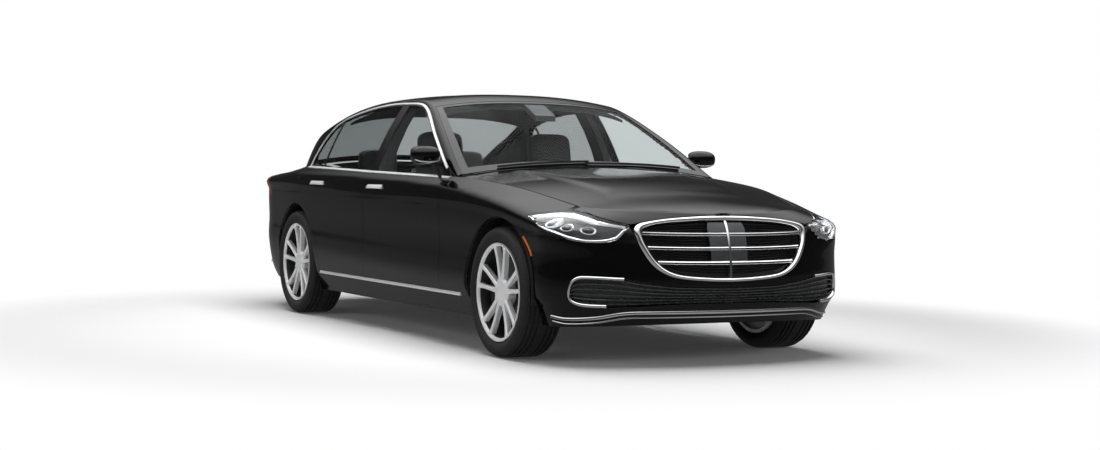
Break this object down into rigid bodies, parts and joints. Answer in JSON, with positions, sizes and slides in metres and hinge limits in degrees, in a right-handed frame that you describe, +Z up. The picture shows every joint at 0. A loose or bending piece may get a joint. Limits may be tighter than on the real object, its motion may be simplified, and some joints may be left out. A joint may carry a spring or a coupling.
{
  "type": "luxury sedan",
  "caption": "Long black four-door luxury sedan with hinged doors, bonnet and boot lid, steered front wheels and free-turning wheels.",
  "frame": {"origin": "on the floor, at mid-length and mid-width", "axes": "+X forward to the nose, +Y to the left, +Z up"},
  "size_m": [5.3029, 2.0676, 1.5041],
  "materials": {
    "paint": "gloss black",
    "glass": "clear tinted",
    "tyre": "matte rubber",
    "alloy": "bright silver",
    "cabin": "soft black",
    "seat": "black leather",
    "chrome": "polished",
    "black": "satin black",
    "lens": "clear lens",
    "red_lens": "red lens",
    "steel": "dark metal"
  },
  "bodies": {
    "body": {"floor_pan": "steel", "sills": "paint", "posts": "steel", "bulkhead": "black", "roof": "paint", "a_pillars": "paint", "c_pillars": "paint", "quarter_panels": "paint", "windscreen": "glass", "rear_window": "glass", "wings": "paint", "front_bumper": "paint", "rear_bumper": "paint", "grille_frame": "chrome", "grille_insert": "black", "intake_grille": "black", "headlamps": "lens", "tail_lamps": "red_lens", "arch_liners": "black", "door_hinges": "steel", "front_axle": "steel", "rear_axle": "steel", "engine": "steel", "exhaust": "steel", "dashboard": "cabin", "front_seats": "seat", "rear_seat": "seat"},
    "bonnet": {"bonnet": "paint"},
    "boot_lid": {"boot_lid": "paint"},
    "steering_wheel": {"steering_wheel": "cabin"},
    "door_front_left": {"door_front_left": "paint", "trim_front_left": "cabin", "glass_front_left": "glass", "mirror_left": "paint"},
    "wheel_front_left": {"tyre_front_left": "tyre", "rim_front_left": "alloy"},
    "door_front_right": {"door_front_right": "paint", "trim_front_right": "cabin", "glass_front_right": "glass", "mirror_right": "paint"},
    "wheel_front_right": {"tyre_front_right": "tyre", "rim_front_right": "alloy"},
    "door_rear_left": {"door_rear_left": "paint", "trim_rear_left": "cabin", "glass_rear_left": "glass"},
    "wheel_rear_left": {"tyre_rear_left": "tyre", "rim_rear_left": "alloy"},
    "door_rear_right": {"door_rear_right": "paint", "trim_rear_right": "cabin", "glass_rear_right": "glass"},
    "wheel_rear_right": {"tyre_rear_right": "tyre", "rim_rear_right": "alloy"},
    "knuckle_left": {"knuckle_left": "steel"},
    "knuckle_right": {"knuckle_right": "steel"}
  },
  "joints": [
    {"name": "steer_left", "type": "hinge", "parent": "body", "child": "knuckle_left", "pos_m": [1.785, 0.77, 0.356], "axis": [0, 0, 1], "range_deg": [-34, 34]},
    {"name": "steer_right", "type": "hinge", "parent": "body", "child": "knuckle_right", "pos_m": [1.785, -0.77, 0.356], "axis": [0, 0, 1], "range_deg": [-34, 34]},
    {"name": "wheel_front_left_spin", "type": "hinge", "parent": "knuckle_left", "child": "wheel_front_left", "pos_m": [1.785, 0.83, 0.356], "axis": [0, 1, 0], "continuous": true},
    {"name": "wheel_rear_left_spin", "type": "hinge", "parent": "body", "child": "wheel_rear_left", "pos_m": [-1.43132, 0.837, 0.356], "axis": [0, 1, 0], "continuous": true},
    {"name": "door_front_left_swing", "type": "hinge", "parent": "body", "child": "door_front_left", "pos_m": [0.9435, 0.94884, 0.61], "axis": [0, 0, -1], "range_deg": [0, 68]},
    {"name": "door_rear_left_swing", "type": "hinge", "parent": "body", "child": "door_rear_left", "pos_m": [-0.2335, 0.95771, 0.61], "axis": [0, 0, -1], "range_deg": [0, 68]},
    {"name": "wheel_front_right_spin", "type": "hinge", "parent": "knuckle_right", "child": "wheel_front_right", "pos_m": [1.785, -0.83, 0.356], "axis": [0, 1, 0], "continuous": true},
    {"name": "wheel_rear_right_spin", "type": "hinge", "parent": "body", "child": "wheel_rear_right", "pos_m": [-1.43132, -0.837, 0.356], "axis": [0, 1, 0], "continuous": true},
    {"name": "door_front_right_swing", "type": "hinge", "parent": "body", "child": "door_front_right", "pos_m": [0.9435, -0.94884, 0.61], "axis": [0, 0, 1], "range_deg": [0, 68]},
    {"name": "door_rear_right_swing", "type": "hinge", "parent": "body", "child": "door_rear_right", "pos_m": [-0.2335, -0.95771, 0.61], "axis": [0, 0, 1], "range_deg": [0, 68]},
    {"name": "bonnet_lift", "type": "hinge", "parent": "body", "child": "bonnet", "pos_m": [1.1, 0, 1.05], "axis": [0, -1, 0], "range_deg": [0, 50]},
    {"name": "boot_lift", "type": "hinge", "parent": "body", "child": "boot_lid", "pos_m": [-1.8, 0, 1.03], "axis": [0, 1, 0], "range_deg": [0, 75]},
    {"name": "steering_turn", "type": "hinge", "parent": "body", "child": "steering_wheel", "pos_m": [0.567, 0.385, 0.88], "axis": [0.9135, 0, -0.4067], "range_deg": [-500, 500]}
  ],
  "couplings": [
    {"joint": "steer_right", "follows": "steer_left", "ratio": 1},
    {"joint": "steering_turn", "follows": "steer_left", "ratio": -14}
  ]
}
